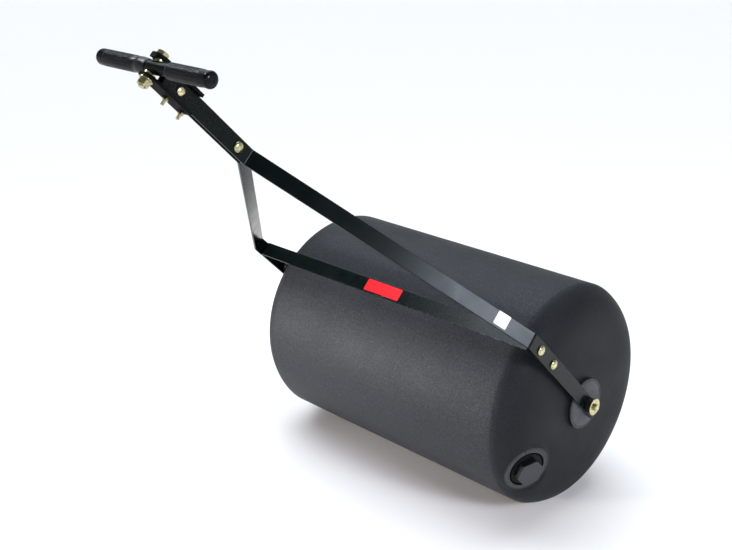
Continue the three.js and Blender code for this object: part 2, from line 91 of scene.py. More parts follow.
def seat_of(node, direction, side=None):
    """The place at a node's low end along direction, on its centre line, with the node's length
    and radius."""
    axes = facing(Vector(), direction, side)
    low, high = span(node, axes)
    middle = (low + high) / 2
    place = axes @ Matrix.Translation((middle.x, middle.y, low.z))
    return place, high.z - low.z, (high.x - low.x) / 2


AXLE_PLACE = facing(AXLE, RIGHT, Vector((0, 0, 1)))
PLUG_AT = Vector(JOINTS["plug_turn"]["pos_m"])
PLUG_AXIS = Vector(JOINTS["plug_turn"]["axis"])
PLUG_PLACE = facing(PLUG_AT, PLUG_AXIS, Vector((0, 0, 1)))
HUB_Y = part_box("drum_shell")[1].y


# ---- Dimensions of the drum ----

DRUM_RADIUS = AXLE.z
RIM_Y = 0.302  # the straight rolling face ends here
DOME_DEPTH = 0.052
DOME_RADIAL_POWER = 8
DOME_AXIAL_POWER = 1.2
HUB_RADIUS = 0.051
HUB_DISC_RADIUS = 0.047  # a shallow groove runs around the disc
HUB_FOOT = 0.004  # the step from the hub's side to the dome
AXLE_BORE = 0.0103
AXLE_TUBE_RADIUS = 0.017
DRUM_WALL = 0.006

PORT_RADIUS = 0.026
POCKET_RADIUS = 0.038
POCKET_DEPTH = 0.006
LIP_RADIUS = 0.044
BLEND_RADIUS = 0.057  # the boss has run out into the dome here
BOSS_DEPTH = 0.018


# ---- Outlines ----

def quarter_turn(steps):
    """Angles from 0 to a right angle in even steps, in radians."""
    return [math.radians(90 * i / steps) for i in range(steps + 1)]


def filleted(points, radius, closed=False, steps=4):
    """An outline with each corner rounded. The two ends of an open outline stay as they are."""
    result = []
    count = len(points)
    for i, point in enumerate(points):
        if not closed and i in (0, count - 1):
            result.append(point)
            continue
        here = Vector(point)
        before = Vector(points[i - 1]) - here
        after = Vector(points[(i + 1) % count]) - here
        turn = math.pi - before.angle(after)
        if turn < math.radians(4):
            result.append(point)
            continue
        room = min(before.length, after.length) * 0.49
        setback = min(radius * math.tan(turn / 2), room)
        start = here + before.normalized() * setback
        end = here + after.normalized() * setback
        for k in range(steps + 1):
            t = k / steps
            corner = start.lerp(here, t).lerp(here.lerp(end, t), t)
            result.append(tuple(corner))
    return result


# ---- Meshes ----

def linked(name, data):
    """A new object in the scene."""
    obj = bpy.data.objects.new(name, data)
    bpy.context.scene.collection.objects.link(obj)
    return obj


def smooth(mesh, sharp=35):
    """Shades a mesh smooth, with edges sharper than an angle in degrees kept sharp."""
    mesh.shade_smooth()
    mesh.set_sharp_from_angle(angle=math.radians(sharp))


def new_piece(name, bm, place=Matrix(), sharp=35):
    """A smooth-shaded object made from a bmesh, with edges sharper than an angle kept sharp."""
    bmesh.ops.remove_doubles(bm, verts=bm.verts, dist=1e-7)
    bmesh.ops.recalc_face_normals(bm, faces=bm.faces)
    bm.transform(place)
    mesh = bpy.data.meshes.new(name)
    bm.to_mesh(mesh)
    bm.free()
    smooth(mesh, sharp)
    return linked(name, mesh)


def bridge(bm, lower, upper, segments):
    """Faces between two rings of points. A ring may also be one point on the axis."""
    for k in range(segments):
        corners = [lower[k % len(lower)], lower[(k + 1) % len(lower)]]
        corners += [upper[(k + 1) % len(upper)], upper[k % len(upper)]]
        face = list(dict.fromkeys(corners))
        if len(face) > 2:
            bm.faces.new(face)


def turned_mesh(profile, segments=64, radial=None):
    """A solid turned about Z from (radius, height) points, which start and end on the axis or
    form a loop. radial(angle, radius, height) changes the radius where it is given."""
    bm = bmesh.new()
    rings = []
    for radius, height in profile:
        if radius < 1e-9:
            rings.append([bm.verts.new((0, 0, height))])
            continue
        ring = []
        for k in range(segments):
            angle = 2 * math.pi * k / segments
            r = radial(angle, radius, height) if radial else radius
            ring.append(bm.verts.new((r * math.cos(angle), r * math.sin(angle), height)))
        rings.append(ring)
    if len(rings[0]) > 1:
        rings.append(rings[0])
    for lower, upper in zip(rings, rings[1:]):
        bridge(bm, lower, upper, segments)
    return bm


def swept_mesh(profile, segments=96):
    """An open surface turned about Z from (radius, height) points that start on the axis."""
    bm = bmesh.new()
    previous = [bm.verts.new((0, 0, profile[0][1]))]
    angles = [2 * math.pi * k / segments for k in range(segments)]
    for radius, height in profile[1:]:
        ring = [bm.verts.new((radius * math.cos(a), radius * math.sin(a), height)) for a in angles]
        bridge(bm, ring, previous, segments)
        previous = ring
    return bm


def prism_mesh(outline, low, high):
    """A solid with its outline in XY, from low to high along Z."""
    bm = bmesh.new()
    base = bm.faces.new([bm.verts.new((x, y, low)) for x, y in outline])
    top = bmesh.ops.extrude_face_region(bm, geom=[base])["geom"]
    raised = [v for v in top if isinstance(v, bmesh.types.BMVert)]
    bmesh.ops.translate(bm, verts=raised, vec=(0, 0, high - low))
    return bm


def bevelled(obj, width, segments=3, angle=30):
    """Rounds the sharp edges of a piece."""
    bevel = obj.modifiers.new("bevel", "BEVEL")
    bevel.width = width
    bevel.segments = segments
    bevel.limit_method = "ANGLE"
    bevel.angle_limit = math.radians(angle)
    obj.data.shade_smooth()
    normals = obj.modifiers.new("normals", "WEIGHTED_NORMAL")
    normals.keep_sharp = True
    return obj


def combined(obj, tool, operation):
    """obj joined with, or cut by, another closed object, which is used up."""
    step = obj.modifiers.new(operation, "BOOLEAN")
    step.operation = operation
    step.solver = "EXACT"
    step.object = tool
    bpy.context.view_layer.update()
    graph = bpy.context.evaluated_depsgraph_get()
    result = bpy.data.meshes.new_from_object(obj.evaluated_get(graph))
    obj.modifiers.clear()
    obj.data = result
    bpy.data.objects.remove(tool)
    return obj


def stands_for(obj, node, finish=None):
    """The piece takes over a node's place, body and material slot. It wears that slot's
    material, or the named finish."""
    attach(obj, BODY_OF[node])
    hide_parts(node)
    obj.data.materials.clear()
    obj.data.materials.append(materials[finish or SLOT_OF[node]])
    return obj


# ---- Shader helpers ----

class Shader:
    """A procedural material, built from nodes that read the piece's own coordinates."""

    def __init__(self, name):
        self.material = bpy.data.materials.new(name)
        self.material.use_nodes = True
        self.tree = self.material.node_tree
        self.surface = self.tree.nodes["Principled BSDF"]
        self.place = self.tree.nodes.new("ShaderNodeTexCoord").outputs["Object"]

    def node(self, kind, settings=None, **inputs):
        node = self.tree.nodes.new(kind)
        for name, value in (settings or {}).items():
            setattr(node, name, value)
        for name, value in inputs.items():
            self.put(node.inputs[name.replace("_", " ")], value)
        return node

    def put(self, socket, value):
        if isinstance(value, bpy.types.NodeSocket):
            self.tree.links.new(value, socket)
        else:
            socket.default_value = value

    def set(self, **inputs):
        for name, value in inputs.items():
            self.put(self.surface.inputs[name.replace("_", " ")], value)

    def stretched(self, scale):
        """The coordinates scaled differently along each axis."""
        mapping = self.node("ShaderNodeMapping", Vector=self.place)
        mapping.inputs["Scale"].default_value = scale
        return mapping.outputs["Vector"]

    def around(self, place):
        """How far a point lies from the Z axis of a place, and how high along it."""
        local = self.node("ShaderNodeMapping", {"vector_type": "TEXTURE"}, Vector=self.place)
        local.inputs["Location"].default_value = place.translation
        local.inputs["Rotation"].default_value = place.to_euler()
        parts = self.node("ShaderNodeSeparateXYZ", Vector=local.outputs["Vector"]).outputs
        squares = [self.math("POWER", parts[axis], 2.0) for axis in "XY"]
        return self.math("SQRT", self.math("ADD", *squares), 0.0), parts["Z"]

    def band(self, value, low, high, soft):
        """1 between low and high, falling to 0 over a soft edge on each side."""
        rising = self.ramp(value, low - soft, low)
        return self.times(rising, self.ramp(value, high, high + soft, 1.0, 0.0))

    def noise(self, size, detail=4.0, roughness=0.55, distortion=0.0, at=None):
        """Noise whose features are about size metres across."""
        return self.node(
            "ShaderNodeTexNoise", Vector=at or self.place, Scale=1 / size,
            Detail=detail, Roughness=roughness, Distortion=distortion,
        ).outputs["Fac"]

    def cells(self, size, at=None):
        """Distance to the nearest of scattered points that lie about size metres apart."""
        node = self.node("ShaderNodeTexVoronoi", Vector=at or self.place, Scale=1 / size)
        return node.outputs["Distance"]

    def ramp(self, value, low, high, start=0.0, end=1.0):
        """value stretched so that low gives start and high gives end, and held there outside."""
        node = self.node("ShaderNodeMapRange", Value=value)
        node.inputs["From Min"].default_value = low
        node.inputs["From Max"].default_value = high
        node.inputs["To Min"].default_value = start
        node.inputs["To Max"].default_value = end
        return node.outputs["Result"]

    def math(self, operation, a, b):
        node = self.tree.nodes.new("ShaderNodeMath")
        node.operation = operation
        self.put(node.inputs[0], a)
        self.put(node.inputs[1], b)
        return node.outputs[0]

    def times(self, *factors):
        """The product of two or more values."""
        product = factors[0]
        for factor in factors[1:]:
            product = self.math("MULTIPLY", product, factor)
        return product

    def mix(self, factor, a, b):
        """A colour between a and b."""
        node = self.tree.nodes.new("ShaderNodeMix")
        node.data_type = "RGBA"
        self.put(node.inputs["Factor"], factor)
        self.put(node.inputs["A"], a)
        self.put(node.inputs["B"], b)
        return node.outputs["Result"]

    def colours(self, value, stops):
        """A colour band through (position, colour) stops."""
        node = self.node("ShaderNodeValToRGB", Fac=value)
        band = node.color_ramp.elements
        while len(band) < len(stops):
            band.new(1.0)
        for element, (position, colour) in zip(band, stops):
            element.position = position
            element.color = (*colour, 1)
        return node.outputs["Color"]

    def edges(self, low, high):
        """Near 1 along outer edges and near 0 elsewhere."""
        return self.ramp(self.node("ShaderNodeNewGeometry").outputs["Pointiness"], low, high)

    def bump(self, height, distance, strength=1.0, after=None):
        node = self.node("ShaderNodeBump", Height=height, Strength=strength, Distance=distance)
        if after:
            self.put(node.inputs["Normal"], after)
        return node.outputs["Normal"]


def colour(red, green, blue):
    return (red, green, blue, 1)


# ---- Materials ----

def drum_plastic():
    """Rotomoulded polyethylene: charcoal, finely grained, with pale flecks and faint rub marks.
    The ends carry painted shade, the hub face a painted sheen in patches, the plug's lip a painted
    highlight and its pocket painted shade."""
    s = Shader("drum_plastic")
    clouds = s.noise(0.09, detail=3)
    charcoal = s.mix(s.ramp(clouds, 0.35, 0.7),
                     colour(0.0155, 0.0158, 0.0190), colour(0.0228, 0.0232, 0.0272))
    pits = s.math("ADD", s.noise(0.0032, detail=3, roughness=0.8), s.times(s.cells(0.0026), 0.25))
    dark_grain = s.mix(0.5, charcoal, colour(0.0080, 0.0082, 0.0100))
    pale_grain = s.mix(0.5, charcoal, colour(0.0420, 0.0430, 0.0490))
    grained = s.mix(s.ramp(pits, 0.48, 0.76), dark_grain, pale_grain)
    rubs = s.ramp(s.noise(0.004, detail=3, at=s.stretched((1, 0.06, 1))), 0.60, 0.78)
    worn = s.mix(s.times(rubs, 0.45), grained, colour(0.048, 0.049, 0.054))
    flecks = s.ramp(s.cells(0.0042), 0.10, 0.24, 1.0, 0.0)
    gathered = s.ramp(s.noise(0.012, detail=2), 0.42, 0.62)
    speckled = s.mix(s.times(flecks, gathered, 0.65), worn, colour(0.105, 0.105, 0.114))

    from_axle, along_axle = s.around(AXLE_PLACE)
    from_middle = s.math("ABSOLUTE", along_axle, 0.0)
    past_rim = s.ramp(from_middle, RIM_Y - 0.006, RIM_Y + 0.012)
    # Painted shade: the ends are darkened, fully within 0.15 m of the axle and a little less towards the rim.
    end = s.times(past_rim, s.ramp(from_axle, 0.150, 0.215, 1.0, 0.75), 0.88)
    with_painted_end_shade = s.mix(end, speckled, colour(0.0045, 0.0050, 0.0065))
    # Painted sheen: the hub's face is lightened in patches.
    on_hub = s.times(s.ramp(from_axle, HUB_RADIUS + 0.0005, HUB_RADIUS + 0.0015, 1.0, 0.0),
                     s.ramp(from_middle, HUB_Y - 0.004, HUB_Y - 0.001))
    hub_sheen_patches = s.ramp(s.noise(0.02), 0.3, 0.6, 0.6, 1.0)
    hub_painted_sheen = s.mix(s.times(on_hub, hub_sheen_patches), with_painted_end_shade, colour(0.066, 0.065, 0.070))

    from_plug, above_boss = s.around(PLUG_PLACE)
    near_boss = s.band(above_boss, -0.030, 0.030, 0.001)
    # Painted highlight: the lip round the plug's pocket is lightened, streaked by a fine noise.
    lip_streak_noise = s.ramp(s.noise(0.003, detail=6, roughness=0.7), 0.42, 0.62)
    lip_highlight_strength = s.math("ADD", s.times(lip_streak_noise, 0.55), 0.4)
    on_lip = s.band(from_plug, POCKET_RADIUS + 0.0005, LIP_RADIUS + 0.001, 0.005)
    lip_highlighted = s.mix(s.times(near_boss, on_lip, lip_highlight_strength), hub_painted_sheen, colour(0.090, 0.091, 0.098))
    # Painted shade: the pocket round the plug, below the lip, is made near black.
    pocket_painted_shade = s.times(
        near_boss, s.ramp(from_plug, POCKET_RADIUS + 0.0005, POCKET_RADIUS + 0.001, 1.0, 0.0),
        s.ramp(above_boss, -0.003, 0.001, 1.0, 0.0), 0.9,
    )
    grain = s.noise(0.0016, detail=5, roughness=0.65)
    peel = s.noise(0.014, detail=2)
    s.set(
        Base_Color=s.mix(pocket_painted_shade, lip_highlighted, colour(0.003, 0.003, 0.003)),
        Roughness=s.ramp(clouds, 0.3, 0.75, 0.50, 0.62),
        Specular_IOR_Level=0.12,
        Normal=s.bump(grain, 0.45 * MM, 0.85, after=s.bump(peel, 0.8 * MM, 0.35)),
    )
    return s.material


def plug_plastic():
    """Moulded polyethylene, smoother than the drum, with painted shade, near black, below the hexagon's face."""
    s = Shader("plug_plastic")
    clouds = s.noise(0.02, detail=4)
    height = s.around(PLUG_PLACE)[1]
    # Painted shade: everything below the hexagon's face is made near black.
    plug_painted_shade = s.ramp(height, 0.0150, 0.0166, 0.93, 0.0)
    moulded = s.mix(clouds, colour(0.038, 0.039, 0.042), colour(0.052, 0.054, 0.058))
    s.set(Base_Color=s.mix(plug_painted_shade, moulded, colour(0.0015, 0.0015, 0.0015)))
    s.set(Roughness=s.ramp(clouds, 0.3, 0.7, 0.42, 0.55))
    s.set(Specular_IOR_Level=0.12)
    s.set(Normal=s.bump(s.noise(0.0012, detail=5, roughness=0.6), 0.15 * MM, 0.5))
    return s.material


def matte_black():
    """Thin black paint, dull all over, with a faint grain."""
    s = Shader("matte_black")
    clouds = s.noise(0.012, detail=5)
    s.set(Base_Color=s.mix(clouds, colour(0.0012, 0.0018, 0.0017), colour(0.0035, 0.0045, 0.0043)))
    s.set(Roughness=s.ramp(clouds, 0.3, 0.7, 0.55, 0.70))
    s.set(Specular_IOR_Level=0.05)
    s.set(Normal=s.bump(s.noise(0.0012, detail=4), 0.08 * MM, 0.4))
    return s.material


def black_paint():
    """Satin black powder coat: a fine orange peel, small variations in gloss, and a thin coat
    along the edges."""
    s = Shader("black_paint")
    clouds = s.noise(0.035, detail=4)
    chips = s.times(s.edges(0.53, 0.60), s.ramp(s.noise(0.004, detail=6), 0.50, 0.62), 0.5)
    base = s.mix(clouds, colour(0.0010, 0.0026, 0.0024), colour(0.0022, 0.0042, 0.0038))
    s.set(Base_Color=s.mix(chips, base, colour(0.09, 0.09, 0.088)))
    lines = s.noise(0.0011, detail=2, at=s.stretched((0.12, 1, 0.12)))
    scuffs = s.ramp(lines, 0.60, 0.75, 0.0, 0.05)
    s.set(Roughness=s.math("ADD", s.ramp(clouds, 0.3, 0.7, 0.20, 0.26), scuffs))
    peel = s.noise(0.0021, detail=3)
    s.set(Normal=s.bump(peel, 0.12 * MM, 0.20))
    s.set(Specular_IOR_Level=0.09)
    return s.material


def yellow_zinc():
    """Yellow passivated zinc: straw gold that drifts to pink and green, on a bright, fine-grained
    metal."""
    s = Shader("yellow_zinc")
    drift = s.noise(0.0045, detail=3, distortion=0.8)
    tint = s.colours(drift, [
        (0.30, (0.14, 0.24, 0.17)),
        (0.42, (0.35, 0.36, 0.16)),
        (0.52, (0.58, 0.53, 0.31)),
        (0.62, (0.52, 0.35, 0.27)),
        (0.74, (0.18, 0.30, 0.21)),
    ])
    stains = s.ramp(s.noise(0.0016, detail=5), 0.50, 0.70, 0.0, 0.60)
    s.set(Base_Color=s.mix(stains, tint, colour(0.14, 0.10, 0.05)))
    s.set(Metallic=1.0)
    s.set(Roughness=s.ramp(s.noise(0.0009, detail=4), 0.3, 0.7, 0.16, 0.30))
    s.set(Normal=s.bump(s.noise(0.0005, detail=3), 0.04 * MM, 0.4))
    return s.material


def steel():
    """Bright drawn steel with fine lines along the rod and a thin film of oil stains."""
    s = Shader("steel")
    lines = s.noise(0.0006, detail=3, at=s.stretched((1, 0.05, 1)))
    stains = s.noise(0.008, detail=4)
    s.set(Base_Color=s.mix(s.ramp(stains, 0.4, 0.7),
                           colour(0.52, 0.52, 0.52), colour(0.36, 0.34, 0.31)))
    s.set(Metallic=1.0)
    s.set(Roughness=s.ramp(lines, 0.3, 0.7, 0.24, 0.42))
    s.set(Normal=s.bump(lines, 0.03 * MM, 0.5))
    return s.material


def black_nylon():
    """Moulded nylon, with a dull bloom on a dense black."""
    s = Shader("black_nylon")
    bloom = s.noise(0.005, detail=4)
    s.set(Base_Color=s.mix(bloom, colour(0.004, 0.004, 0.005), colour(0.010, 0.010, 0.011)))
    s.set(Specular_IOR_Level=0.25)
    s.set(Roughness=s.ramp(bloom, 0.3, 0.7, 0.40, 0.55))
    s.set(Normal=s.bump(s.noise(0.0008, detail=4), 0.06 * MM, 0.5))
    return s.material


def grip_rubber():
    """Moulded rubber, slightly dusty in its hollows."""
    s = Shader("grip_rubber")
    clouds = s.noise(0.012, detail=4)
    hollows = s.math("SUBTRACT", 1.0, s.edges(0.44, 0.52))
    base = s.mix(clouds, colour(0.003, 0.0035, 0.004), colour(0.006, 0.0065, 0.0075))
    s.set(Base_Color=s.mix(s.times(hollows, 0.25), base, colour(0.012, 0.012, 0.013)))
    s.set(Roughness=s.ramp(clouds, 0.3, 0.7, 0.30, 0.40))
    s.set(Normal=s.bump(s.noise(0.0007, detail=4), 0.05 * MM, 0.5))
    s.set(Specular_IOR_Level=0.22)
    return s.material


def gloss_black():
    """A glossy injection moulding with faint hairlines."""
    s = Shader("gloss_black")
    hairs = s.noise(0.0008, detail=2, at=s.stretched((0.1, 1, 1)))
    clouds = s.noise(0.01, detail=3)
    s.set(Base_Color=s.mix(clouds, colour(0.003, 0.003, 0.004), colour(0.006, 0.006, 0.007)))
    s.set(Roughness=s.ramp(hairs, 0.55, 0.75, 0.13, 0.30))
    s.set(Specular_IOR_Level=0.12)
    s.set(Normal=s.bump(clouds, 0.05 * MM, 0.3))
    return s.material


def vinyl(name, deep, bright):
    """Plain vinyl: even colour with a soft mottle, a light texture and a few dull rubs."""
    s = Shader(name)
    mottle = s.noise(0.006, detail=4)
    s.set(Base_Color=s.mix(mottle, deep, bright))
    s.set(Roughness=s.ramp(s.noise(0.003, detail=5), 0.45, 0.7, 0.28, 0.46))
    s.set(Specular_IOR_Level=0.2)
    s.set(Normal=s.bump(s.noise(0.0012, detail=3), 0.03 * MM, 0.4))
    return s.material


materials = {
    "drum_plastic": drum_plastic(),
    "plug_plastic": plug_plastic(),
    "black_paint": black_paint(),
    "matte_black": matte_black(),
    "yellow_zinc": yellow_zinc(),
    "steel": steel(),
    "black_nylon": black_nylon(),
    "grip_rubber": grip_rubber(),
    "gloss_black": gloss_black(),
    "red_label": vinyl("red_label", colour(0.56, 0.004, 0.009), colour(0.68, 0.007, 0.014)),
    "white_label": vinyl("white_label", colour(0.78, 0.79, 0.79), colour(0.88, 0.88, 0.87)),
}


# ---- Drum ----

ABOUT_AXLE = Matrix.Translation(AXLE) @ Matrix.Rotation(-math.pi / 2, 4, "X")
BOSS_REACH = 0.05  # nothing of the boss lies further than this from its plane
HALVINGS = 30


def dome_outline(radius, depth, start_radius, steps):
    """Half of the drum's outline, from start_radius out to the rim, as (radius, distance from
    the middle)."""
    start = math.acos((start_radius / radius) ** (DOME_RADIAL_POWER / 2))
    points = []
    for i in range(steps + 1):
        angle = start * (1 - i / steps)
        r = radius * math.cos(angle) ** (2 / DOME_RADIAL_POWER)
        points.append((r, RIM_Y + depth * max(math.sin(angle), 0) ** (2 / DOME_AXIAL_POWER)))
    return points


def both_ends(half):
    """A whole outline, mirrored about the drum's middle."""
    return [(r, -y) for r, y in half] + [(r, y) for r, y in reversed(half)]


def on_dome(u, v):
    """How far the dome's surface lies along the plug's axis from point (u, v) of the boss plane."""
    low, high = -BOSS_REACH, BOSS_REACH
    for _ in range(HALVINGS):
        w = (low + high) / 2
        point = PLUG_PLACE @ Vector((u, v, w)) - AXLE
        radial = (math.hypot(point.x, point.z) / DRUM_RADIUS) ** DOME_RADIAL_POWER
        axial = (max(-point.y - RIM_Y, 0) / DOME_DEPTH) ** DOME_AXIAL_POWER
        if radial + axial < 1:
            low = w
        else:
            high = w
    return (low + high) / 2


def boss_profile():
    """The port, pocket and double lip, from the port's floor out to the edge of the lip."""
    crest, hollow, floor = 0.002, 0.0008, -0.015
    points = [
        (0, floor), (PORT_RADIUS, floor), (PORT_RADIUS, -POCKET_DEPTH),
        (POCKET_RADIUS, -POCKET_DEPTH), (POCKET_RADIUS, crest), (0.0405, crest),
        (0.0413, hollow), (0.0422, hollow), (0.0428, crest), (LIP_RADIUS, crest), (0.0448, 0),
    ]
    return filleted(points, 0.0008, steps=4)


def boss_mesh(segments=120, blend_steps=8):
    """The right end's surface around the fill port, out to where it has run out into the dome."""
    rings = []
    for radius, height in boss_profile():
        rings.append((radius, lambda u, v, height=height: height))
    edge = rings[-1][0]
    for i in range(1, blend_steps + 1):
        t = i / blend_steps
        rise = t * t * (3 - 2 * t)
        radius = edge + (BLEND_RADIUS - edge) * t
        rings.append((radius, lambda u, v, rise=rise: rise * on_dome(u, v)))
    bm = bmesh.new()
    previous = [bm.verts.new((0, 0, rings[0][1](0, 0)))]
    for radius, height in rings[1:]:
        ring = []
        for k in range(segments):
            angle = 2 * math.pi * k / segments
            u, v = radius * math.cos(angle), radius * math.sin(angle)
            ring.append(bm.verts.new((u, v, height(u, v))))
        bridge(bm, previous, ring, segments)
        previous = ring
    bm.transform(PLUG_PLACE)
    return bm


def drum_outer_mesh(segments=224):
    """The drum's outside and its axle bore, with the fill port's boss let into the right end."""
    foot = RIM_Y + DOME_DEPTH
    groove, depth = 0.0014, 0.0016
    hub = filleted([
        (AXLE_BORE, HUB_Y), (HUB_DISC_RADIUS, HUB_Y), (HUB_DISC_RADIUS, HUB_Y - depth),
        (HUB_DISC_RADIUS + groove, HUB_Y - depth), (HUB_DISC_RADIUS + groove, HUB_Y),
        (HUB_RADIUS, HUB_Y), (HUB_RADIUS, foot), (HUB_RADIUS + HUB_FOOT, foot),
    ], 0.0012)
    dome = dome_outline(DRUM_RADIUS, DOME_DEPTH, HUB_RADIUS + HUB_FOOT, 44)
    face = [(DRUM_RADIUS, RIM_Y * (1 - i / 12)) for i in range(1, 12)]
    half = hub[:-1] + dome + face
    bm = turned_mesh(both_ends(half), segments)
    bm.transform(ABOUT_AXLE)
    back = PLUG_PLACE.inverted()
    margin = 0.0012
    inside = []
    for vert in bm.verts:
        u, v, w = back @ vert.co
        if math.hypot(u, v) < BLEND_RADIUS + margin and abs(w) < BOSS_REACH:
            inside.append(vert)
    bmesh.ops.delete(bm, geom=inside, context="VERTS")
    boss = boss_mesh()
    scratch = bpy.data.meshes.new("boss")
    boss.to_mesh(scratch)
    boss.free()
    bm.from_mesh(scratch)
    bpy.data.meshes.remove(scratch)
    rims = [edge for edge in bm.edges if edge.is_boundary]
    bmesh.ops.triangle_fill(bm, edges=rims, use_beauty=True)
    return bm


def cylinder(radius, low, high):
    """The outline of a plain solid cylinder."""
    return [(0, low), (radius, low), (radius, high), (0, high)]


def drum():
    """The hollow shell: the outer form less its cavity, which the fill port opens."""
    shell = new_piece("drum_shell_form", drum_outer_mesh(), sharp=40)
    inner = dome_outline(DRUM_RADIUS - DRUM_WALL, DOME_DEPTH - DRUM_WALL, AXLE_TUBE_RADIUS, 12)
    cavity = new_piece("cavity", turned_mesh(both_ends(inner), 96), ABOUT_AXLE)
    boss = turned_mesh(cylinder(0.050, -BOSS_DEPTH, 0.03), 64)
    combined(cavity, new_piece("boss_solid", boss, PLUG_PLACE), "DIFFERENCE")
    port = turned_mesh(cylinder(0.0255, -0.025, -0.010), 64)
    combined(cavity, new_piece("port", port, PLUG_PLACE), "UNION")
    combined(shell, cavity, "DIFFERENCE")
    stands_for(shell, "drum_shell")


drum()


# ---- Fasteners, made about Z with their seat at z = 0 ----

# Shank and head are radii, rise and hex are the heights of a coach head and a hexagon head.
M6 = {"shank": 0.003, "pitch": 0.001, "flats": 0.010, "head": 0.0082, "rise": 0.0039}
M8 = {"shank": 0.004, "pitch": 0.00125, "flats": 0.013, "head": 0.0096, "rise": 0.005,
      "hex": 0.0053}
M12 = {"shank": 0.006, "pitch": 0.00175, "flats": 0.019, "hex": 0.0075}
ZINC_EDGE = 0.0004
THREAD_DEPTH = 0.3  # of the pitch
AXLE_BOLT_BORE = 0.0043
HANDLE_BOLT_BORE = 0.0063
SEAL_BORE = 0.0263


def coach_head(size):
    """The domed head's outline from its seat up, with a small upright rim."""
    radius, rise, rim = size["head"], size["rise"], 0.0009
    dome = [(radius * math.cos(a), rim + (rise - rim) * math.sin(a)) for a in quarter_turn(10)]
    return [(radius - 0.0003, 0)] + dome[:-1] + [(0, rise)]


def threaded_mesh(radius, pitch, low, high, profile=(), segments=32):
    """A rod with a helical thread from low to high, and an outline added above it."""
    depth = THREAD_DEPTH * pitch
    steps = max(2, round((high - low) / pitch * 6))
    lead = pitch / 2
    rows = [(0, low), (radius - 1.6 * depth, low)]
    rows += [(radius, low + lead + (high - low - lead) * i / steps) for i in range(steps + 1)]
    rows += list(profile) or [(0, high)]

    def radial(angle, r, z):
        if r != radius or z > high:
            return r
        phase = (z / pitch - angle / (2 * math.pi)) % 1
        fade = min(1.0, max(0.0, (high - z) / pitch))
        return radius - depth * abs(2 * phase - 1) * fade
    return turned_mesh(rows, segments, radial)


def hex_radial(flats):
    """Trims a turned shape to a hexagon, with its corners just broken."""
    apothem = flats / 2

    def radial(angle, radius, height):
        across = (angle + math.pi / 6) % (math.pi / 3) - math.pi / 6
        return min(radius, apothem / math.cos(across))
    return radial


def hex_profile(flats, low, high, chamfer_low=False):
    """A cylinder over the corners of a hexagon, chamfered to its flats at the top, and at the
    bottom if asked."""
    corner = flats / 2 / math.cos(math.pi / 6) * 0.99
    flat = flats / 2 * 0.97
    drop = (corner - flat) * math.tan(math.radians(28))
    upper = [(corner - (corner - flat) * i / 5, high - drop + drop * i / 5) for i in range(6)]
    lower = [(r, low + high - z) for r, z in reversed(upper)] if chamfer_low else [(corner, low)]
    return lower + upper


def carriage_bolt(node, size, direction):
    """A coach bolt, threaded up to its domed head."""
    place, length, _ = seat_of(node, direction)
    seat = length - size["rise"]
    head = [(r, seat + z) for r, z in coach_head(size)]
    bm = threaded_mesh(size["shank"], size["pitch"], 0, seat, head, segments=48)
    stands_for(new_piece(f"{node}_form", bm, place), node)


def hex_bolt(node, size, direction):
    """A bolt whose hexagon head is dished in the middle of its top."""
    place, top, _ = seat_of(node, direction)
    seat = top - size["hex"]
    rod = threaded_mesh(size["shank"], size["pitch"], 0, seat + size["hex"] / 2)
    bolt = new_piece(f"{node}_form", rod, place)
    flats, dish = size["flats"], top - 0.0004
    crown = [(flats * 0.30, top), (flats * 0.27, dish), (0, dish)]
    outline = [(0, seat)] + hex_profile(flats, seat, top) + crown
    head = new_piece("head", turned_mesh(outline, 96, hex_radial(flats)), place)
    combined(bolt, head, "UNION")
    smooth(bolt.data)
    stands_for(bolt, node)


def nut(node, size, direction):
    """A hexagon nut with a plain bore, countersunk at both ends."""
    place, length, _ = seat_of(node, direction)
    bore = size["shank"] + GAP
    mouth = 0.0006
    outline = [(bore + mouth, 0)]
    outline += hex_profile(size["flats"], 0, length, chamfer_low=True)
    outline += [(bore + mouth, length), (bore, length - mouth), (bore, mouth)]
    bm = turned_mesh(outline, 96, hex_radial(size["flats"]))
    stands_for(new_piece(f"{node}_form", bm, place), node)


def tube(node, direction, bore, edge, segments=64):
    """A washer, spacer, saddle or seal: a ring that fills its node's box."""
    place, length, radius = seat_of(node, direction)
    corners = [(bore, 0), (radius, 0), (radius, length), (bore, length)]
    outline = filleted(corners, edge, closed=True)
    stands_for(new_piece(f"{node}_form", turned_mesh(outline, segments), place), node)


for side, outward in (("left", LEFT), ("right", RIGHT)):
    for level in ("lower", "upper"):
        carriage_bolt(f"crossbar_bolt_{side}_{level}", M8, outward)
        nut(f"crossbar_nut_{side}_{level}", M8, outward)
    tube(f"hub_spacer_{side}", outward, AXLE_BORE, 0.0006)
    tube(f"axle_washer_{side}", outward, AXLE_BOLT_BORE, 0.0009)
    hex_bolt(f"axle_bolt_{side}", M8, outward)

for place_name, size in (("rear", M8), ("front", M6)):
    carriage_bolt(f"tongue_bolt_{place_name}", size, RIGHT)
    nut(f"tongue_nut_{place_name}", size, RIGHT)
    tube(f"tongue_spacer_{place_name}", RIGHT, size["shank"] + GAP, ZINC_EDGE)
    carriage_bolt(f"hitch_bolt_{place_name}", M6, OUT)
    nut(f"hitch_nut_{place_name}", M6, OUT)

hex_bolt("handle_bolt", M12, OUT)
nut("handle_nut", M12, OUT)
tube("handle_washer_outer", OUT, HANDLE_BOLT_BORE, 0.0006)
tube("handle_saddle_upper", OUT, HANDLE_BOLT_BORE, ZINC_EDGE)
tube("handle_saddle_lower", OUT, HANDLE_BOLT_BORE, ZINC_EDGE)


# ---- Axle and bushes ----

